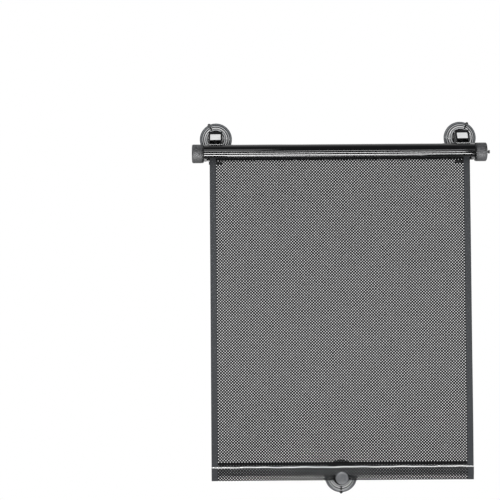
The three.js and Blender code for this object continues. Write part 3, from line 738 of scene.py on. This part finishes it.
def film_map(obj):
    """Lays the film out flat in a UV map in metres, so that its grain moves with it."""
    mesh = obj.data
    spots = np.empty(len(mesh.vertices) * 3)
    mesh.vertices.foreach_get("co", spots)
    corners = np.empty(len(mesh.loops), dtype=int)
    mesh.loops.foreach_get("vertex_index", corners)
    flat = spots.reshape(-1, 3)[corners][:, [0, 2]]
    mesh.uv_layers.new(name="film").data.foreach_set("uv", flat.ravel())


def smooth(share):
    """An S-shaped rise from 0 to 1."""
    share = np.clip(share, 0, 1)
    return share * share * (3 - 2 * share)


def shift(obj, how):
    """Moves each point of a film by how(x, z) in Y."""
    mesh = obj.data
    spots = np.empty(len(mesh.vertices) * 3)
    mesh.vertices.foreach_get("co", spots)
    spots = spots.reshape(-1, 3)
    spots[:, 1] += how(spots[:, 0], spots[:, 2])
    mesh.vertices.foreach_set("co", spots.ravel())
    mesh.update()


def ripple(x, z):
    """Slow waves of the hanging film, none where the case and the hem hold it.

    They are all to the front, so that the hem's rear flap clears the film when it is wound up.
    """
    held = smooth((SHEET_HIGH - 0.03 - z) / 0.09) * smooth((z - SHEET_LOW) / 0.07)
    wave = np.sin(x * 31 + z * 9) + 0.6 * np.sin(x * 14 - z * 23 + 1.3)
    return -RIPPLE / 2 * held * (1.6 + wave)


def layer(side):
    """The line of one layer of the hem, which swells round the bar and meets the other above and below."""

    def line(x, z):
        swell = smooth((POCKET_HIGH + POCKET_SLOPE - z) / POCKET_SLOPE)
        swell *= smooth((z - POCKET_LOW + POCKET_SLOPE) / POCKET_SLOPE)
        return side * (HEM_WELD + (HEM_SWELL - HEM_WELD) * swell)

    return line


columns = int((SHEET_RIGHT - SHEET_LEFT - 2 * FILM_BORDER) / HOLE_STEP)
rows = int((SHEET_HIGH - SHEET_LOW) / HOLE_STEP)
film = perforated(columns, rows, SHEET_LOW, SHEET_HIGH)
sheet = piece("film_sheet", film, "case", sheet_film, ["mesh_sheet"], closed=False)
film_map(sheet)
shift(sheet, ripple)
hem_height = HEM_HIGH - HEM_LOW
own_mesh(sheet)

hem_rows = int(hem_height / HOLE_STEP)
for name, side in (("hem_front_layer", -1), ("hem_back_layer", 1)):
    flap_rows = 0 if side < 0 else int(HEM_FLAP / HOLE_STEP)
    high = HEM_HIGH if side < 0 else HEM_HIGH + HEM_FLAP
    film = perforated(columns, hem_rows + flap_rows, HEM_LOW, high, cut_low=0)
    stands_for = ["hem_sleeve"] if side < 0 else []
    fold = piece(name, film, "hem", sheet_film, stands_for, closed=False)
    film_map(fold)
    shift(fold, layer(side))


def weld_bead():
    """The weld above the bar: a bead of melted film, coloured near white as a painted highlight, that runs a
    little unevenly from side to side.
    """
    bm = bmesh.new()
    bmesh.ops.create_circle(bm, cap_ends=True, segments=12, radius=WELD_RADIUS)
    bmesh.ops.scale(bm, verts=bm.verts, vec=(1, 1.25, 1))
    bmesh.ops.rotate(bm, verts=bm.verts, cent=(0, 0, 0), matrix=Matrix.Rotation(pi / 2, 3, "Y"))
    bmesh.ops.rotate(bm, verts=bm.verts, cent=(0, 0, 0), matrix=Matrix.Rotation(pi / 2, 3, "X"))
    bmesh.ops.translate(bm, verts=bm.verts, vec=(SHEET_LEFT + 0.0004, 0, 0))
    drawn = bmesh.ops.extrude_face_region(bm, geom=bm.faces[:], use_keep_orig=True)["geom"]
    far = [v for v in drawn if isinstance(v, bmesh.types.BMVert)]
    length = SHEET_RIGHT - SHEET_LEFT - 0.0008
    bmesh.ops.translate(bm, verts=far, vec=(length, 0, 0))
    long = [e for e in bm.edges if abs(e.verts[0].co.x - e.verts[1].co.x) > length / 2]
    bmesh.ops.subdivide_edges(bm, edges=long, cuts=260, use_grid_fill=True)
    for corner in bm.verts:
        x = corner.co.x
        wave = sin(x * 2 * pi / (2 * HOLE_STEP)) + 0.7 * sin(x * 83) + 0.5 * sin(x * 211 + 1)
        corner.co.z += WELD_WAVE * wave
        corner.co.y -= WELD_WAVE * 0.5 * sin(x * 130)
    spot = (0, SHEET_Y - HEM_SWELL * 0.6, POCKET_HIGH + POCKET_SLOPE * 0.6)
    bmesh.ops.translate(bm, verts=bm.verts, vec=spot)
    bead = piece("hem_weld", bm, "hem", weld_painted_highlight)
    film_map(bead)
    return bead


weld = weld_bead()


# The roll keeps the film's finish without its map
roll_film = grained("rolled_vinyl_film", "#2b2d30", "#393b3e", 2.2, 0.4, 0.52, 0.2)
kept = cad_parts["sheet_roll"].data
kept.materials.clear()
kept.materials.append(roll_film)


# Hem button and socket


def hem_button():
    """A disc with a chamfered edge and a shallow dished face, on a shank through the hem."""
    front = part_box("hem_button")[0][1]
    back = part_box("hem_button")[1][1]
    face = front + 0.003
    bm = turned(
        [
            (0, front + 0.0005),
            (0.0060, front + 0.0003),
            (0.0074, front + 0.0002),
            (0.0077, front),
            (0.0081, front),
            (BUTTON_RADIUS - 0.0002, front + 0.00038),
            (BUTTON_RADIUS, front + 0.0008),
            (BUTTON_RADIUS, face),
            (0.0030, face),
            (0.0030, face + 0.0013),
            (0.0022, face + 0.0013),
            (0.0022, back),
            (0, back),
        ],
        "Y",
    )
    place(bm, (CLIP.x, 0, CLIP.z))
    piece("hem_button_disc", bm, "hem", button_nylon, ["hem_button"])


hem_button()
bm = ease(cast("hem_socket"), 0.0003, over=40)
piece("hem_socket_eased", bm, "hem", plug_plastic, ["hem_socket"])


# Button spring, copied from its node with a mesh of its own; the real spring shortens as the release is
# pressed
low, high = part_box("button_spring")
coil = piece("button_coil", cast("button_spring"), "case", spring_steel, ["button_spring"])
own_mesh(coil)


# Surroundings and lights


def surroundings():
    """White all round for the eye; what lights the object is even, and what it mirrors is darker in front."""
    world = bpy.data.worlds.new("studio")
    world.use_nodes = True
    tree = world.node_tree
    seen = node(tree, "ShaderNodeLightPath")
    shown = node(
        tree,
        "ShaderNodeMath",
        {0: seen.outputs["Is Camera Ray"], 1: seen.outputs["Is Transmission Ray"]},
        operation="MAXIMUM",
    )
    outwards = node(tree, "ShaderNodeTexCoord").outputs["Generated"]
    direction = node(tree, "ShaderNodeSeparateXYZ", {0: outwards})
    behind = node(
        tree,
        "ShaderNodeMapRange",
        {"Value": direction.outputs["Y"], "From Min": -0.25, "From Max": 0.35, "To Min": 0.12, "To Max": 1.0},
    )
    mirrored = node(
        tree,
        "ShaderNodeMix",
        {0: seen.outputs["Is Glossy Ray"], 2: 0.8, 3: behind.outputs["Result"]},
        data_type="FLOAT",
    )
    strength = node(
        tree,
        "ShaderNodeMath",
        {0: mirrored.outputs[0], 1: shown.outputs["Value"]},
        operation="MAXIMUM",
    )
    sky = tree.nodes["Background"]
    sky.inputs["Color"].default_value = (1, 1, 1, 1)
    tree.links.new(strength.outputs["Value"], sky.inputs["Strength"])
    bpy.context.scene.world = world


def lamp(name, spot, aim, size, radiance, mirrored_only=False):
    """A rectangular soft lamp, whose watts follow from how bright its face is.

    One that is mirrored only shows in glossy surfaces and lights nothing else.
    """
    light = bpy.data.lights.new(name, "AREA")
    light.shape = "RECTANGLE"
    light.size, light.size_y = size
    light.energy = radiance * size[0] * size[1] * pi
    made = bpy.data.objects.new(name, light)
    bpy.context.collection.objects.link(made)
    towards = Vector(aim) - Vector(spot)
    made.location = spot
    made.rotation_euler = towards.to_track_quat("-Z", "Y").to_euler()
    made.visible_camera = False
    if mirrored_only:
        made.visible_diffuse = False
        made.visible_transmission = False


def along_ray(degrees_down, distance):
    """A spot in front of the case, so many degrees below its level."""
    down = radians(degrees_down)
    return (-0.02, ROLLER.y - distance * cos(down), ROLLER.z - distance * sin(down))


surroundings()
lamp("key", (-1.4, -2.2, 1.3), (0, 0, -0.28), (1.6, 1.6), 1.6)
lamp("fill", (1.8, -1.6, 0.2), (0, 0, -0.28), (1.2, 1.2), 0.8)
lamp("back", (0.6, 2.0, 1.0), (0, 0, -0.28), (1.4, 1.4), 0.9)
case_middle = (-0.02, ROLLER.y, ROLLER.z)
lamp("upper_strip", along_ray(-11, 0.6), case_middle, (1.1, 0.04), 11.0, mirrored_only=True)
lamp("middle_strip", along_ray(17, 0.6), case_middle, (1.1, 0.05), 34.0, mirrored_only=True)
lamp("low_strip", along_ray(46, 0.5), case_middle, (1.0, 0.05), 42.0, mirrored_only=True)
hem_middle = (0, SHEET_Y, CLIP.z)
lamp("hem_strip", (0, SHEET_Y - 0.4, CLIP.z - 0.31), hem_middle, (0.9, 0.06), 20.0, mirrored_only=True)


# Camera
CAMERA_SPOT = (-0.1377, -2.1531, -0.2424)
CAMERA_LENS = 100
CAMERA_PITCH = 1.869  # degrees up
CAMERA_ROLL = -0.418
camera = bpy.data.cameras.new("camera")
camera.lens = CAMERA_LENS
camera.clip_end = 50
eye = bpy.data.objects.new("camera", camera)
bpy.context.collection.objects.link(eye)
eye.matrix_world = (
    Matrix.Translation(CAMERA_SPOT)
    @ Matrix.Rotation(radians(90 + CAMERA_PITCH), 4, "X")
    @ Matrix.Rotation(radians(CAMERA_ROLL), 4, "Z")
)
bpy.context.scene.camera = eye
bpy.context.scene.view_settings.view_transform = "Standard"
